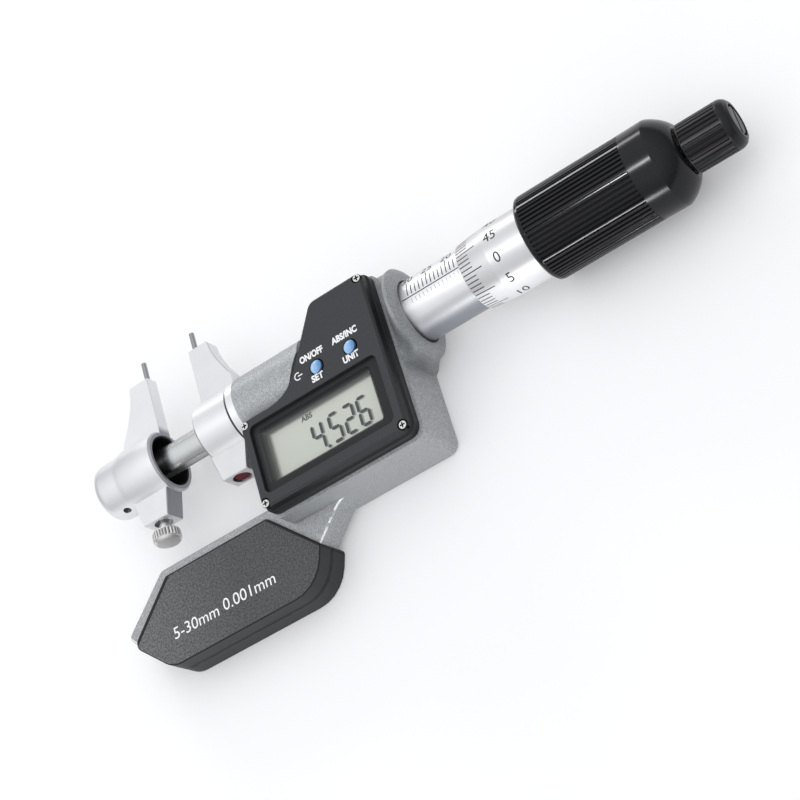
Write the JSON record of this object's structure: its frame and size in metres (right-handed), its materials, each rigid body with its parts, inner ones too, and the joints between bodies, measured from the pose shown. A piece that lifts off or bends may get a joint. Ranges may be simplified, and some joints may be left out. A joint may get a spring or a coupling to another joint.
{
  "type": "inside micrometer",
  "caption": "Caliper-type digital inside micrometer: keyed spindle driven by a thimble and ratchet moves one jaw away from a fixed jaw, with a display block and a moulded grip.",
  "frame": {"origin": "on the flat back of the body, straight below the spindle's axis; the tool lies on its back", "axes": "+X along the spindle towards the ratchet, +Y towards the jaw tips, +Z out of the display"},
  "size_m": [0.1724, 0.0722, 0.0211],
  "materials": {
    "grey_paint": "fine speckled grey enamel",
    "satin_chrome": "satin chrome plating",
    "polished_steel": "ground and polished",
    "black_steel": "black oxide",
    "satin_nickel": "satin nickel",
    "red_lacquer": "dark red sealing lacquer",
    "charcoal_plastic": "fine matte texture",
    "shell_plastic": "fine grained plastic",
    "black_plastic": "semi-gloss black",
    "black_rubber": "plain",
    "blue_button": "smooth light blue",
    "clear_window": "clear",
    "display_glass": "grey-green liquid crystal display",
    "board_green": "green laminate",
    "brass": "turned"
  },
  "bodies": {
    "frame": {"frame_casting": "grey_paint", "fixed_jaw": "satin_chrome", "fixed_jaw_tip": "polished_steel", "fixed_jaw_screw": "black_steel", "sealing_lacquer": "red_lacquer", "display_cover": "charcoal_plastic", "lcd_window": "clear_window", "lcd_panel": "display_glass", "lcd_connector": "black_rubber", "circuit_board": "board_green", "switch_pad": "black_rubber", "cover_screw_1": "satin_nickel", "cover_screw_2": "satin_nickel", "cover_screw_3": "satin_nickel", "cover_screw_4": "satin_nickel", "battery": "polished_steel", "battery_cap": "charcoal_plastic", "battery_contact": "brass", "front_grip_shell": "shell_plastic", "back_grip_shell": "shell_plastic", "grip_screw_1": "satin_nickel", "grip_screw_2": "satin_nickel", "sleeve": "satin_chrome", "sleeve_seal": "black_rubber", "spindle_nut": "brass", "spindle_key": "black_steel", "encoder_stator": "board_green"},
    "spindle": {"spindle": "polished_steel", "movable_jaw": "satin_chrome", "movable_jaw_tip": "polished_steel", "jaw_set_screw": "black_steel", "coupling_pin": "black_steel"},
    "clamp_screw": {"jaw_clamp_screw": "satin_nickel"},
    "thimble": {"measuring_screw": "polished_steel", "thimble": "satin_chrome", "thimble_grip": "black_plastic", "ratchet_screw": "polished_steel"},
    "ratchet": {"ratchet_knob": "black_plastic", "clutch_plate": "brass", "ratchet_spring": "polished_steel"},
    "rotor": {"encoder_rotor": "brass"},
    "on_off_button": {"on_off_button": "blue_button"},
    "mode_button": {"mode_button": "blue_button"}
  },
  "joints": [
    {"name": "spindle_slide", "type": "slide", "parent": "frame", "child": "spindle", "axis": [1, 0, 0], "range_m": [-0.01302, 0.01198]},
    {"name": "thimble_turn", "type": "hinge", "parent": "spindle", "child": "thimble", "pos_m": [0, 0, 0.0102], "axis": [1, 0, 0], "range_deg": [-9376, 8628]},
    {"name": "rotor_turn", "type": "hinge", "parent": "frame", "child": "rotor", "pos_m": [0, 0, 0.0102], "axis": [1, 0, 0], "range_deg": [-9376, 8628]},
    {"name": "ratchet_turn", "type": "hinge", "parent": "thimble", "child": "ratchet", "pos_m": [0.09, 0, 0.0102], "axis": [1, 0, 0], "continuous": true},
    {"name": "clamp_screw_turn", "type": "hinge", "parent": "spindle", "child": "clamp_screw", "pos_m": [-0.05598, -0.0133, 0.0102], "axis": [0, 1, 0], "range_deg": [-180, 180]},
    {"name": "on_off_button_press", "type": "slide", "parent": "frame", "child": "on_off_button", "axis": [0, 0, -1], "range_m": [0, 0.0005], "stiffness_N_per_m": 400},
    {"name": "mode_button_press", "type": "slide", "parent": "frame", "child": "mode_button", "axis": [0, 0, -1], "range_m": [0, 0.0005], "stiffness_N_per_m": 400}
  ],
  "couplings": [
    {"joint": "thimble_turn", "follows": "spindle_slide", "rad_per_m": 12566},
    {"joint": "rotor_turn", "follows": "spindle_slide", "rad_per_m": 12566}
  ]
}
